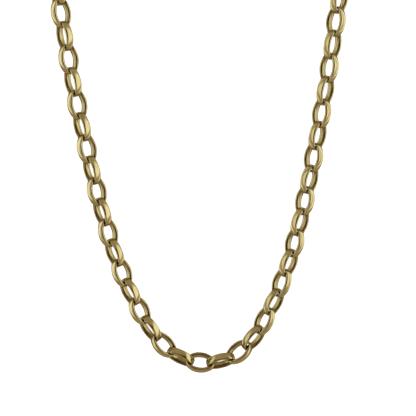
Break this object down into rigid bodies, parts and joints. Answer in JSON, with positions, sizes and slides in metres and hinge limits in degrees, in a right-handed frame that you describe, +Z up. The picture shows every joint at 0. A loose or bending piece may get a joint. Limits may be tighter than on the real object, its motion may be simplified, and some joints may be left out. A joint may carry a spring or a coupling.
{
  "type": "rolo chain",
  "caption": "Gold rolo chain: a closed necklace of interlocked oval links bent from a broad domed band, with a ring clasp behind the neck, hung as it is worn.",
  "frame": {"origin": "the nape, where the back of the chain rests against the neck", "axes": "+Z up, +Y to the back, away from the neck at the nape, +X to the right as the chain is seen from the front"},
  "size_m": [0.1098, 0.0975, 0.1669],
  "materials": {
    "gold": "polished and a little worn",
    "clasp_gold": "polished"
  },
  "bodies": {
    "root": {"link_left_19": "gold", "link_left_18": "gold", "link_left_17": "gold", "link_left_16": "gold", "link_left_15": "gold", "link_left_14": "gold", "link_left_13": "gold", "link_left_12": "gold", "link_left_11": "gold", "link_left_10": "gold", "link_left_09": "gold", "link_left_08": "gold", "link_left_07": "gold", "link_left_06": "gold", "link_left_05": "gold", "link_left_04": "gold", "link_left_03": "gold", "link_left_02": "gold", "link_left_01": "gold", "link_bottom": "gold", "link_right_01": "gold", "link_right_02": "gold", "link_right_03": "gold", "link_right_04": "gold", "link_right_05": "gold", "link_right_06": "gold", "link_right_07": "gold", "link_right_08": "gold", "link_right_09": "gold", "link_right_10": "gold", "link_right_11": "gold", "link_right_12": "gold", "link_right_13": "gold", "link_right_14": "gold", "link_right_15": "gold", "link_right_16": "gold", "link_right_17": "gold", "link_right_18": "gold", "link_right_19": "gold", "back_links_left": "gold", "back_links_right": "gold", "clasp": "clasp_gold"}
  },
  "joints": []
}
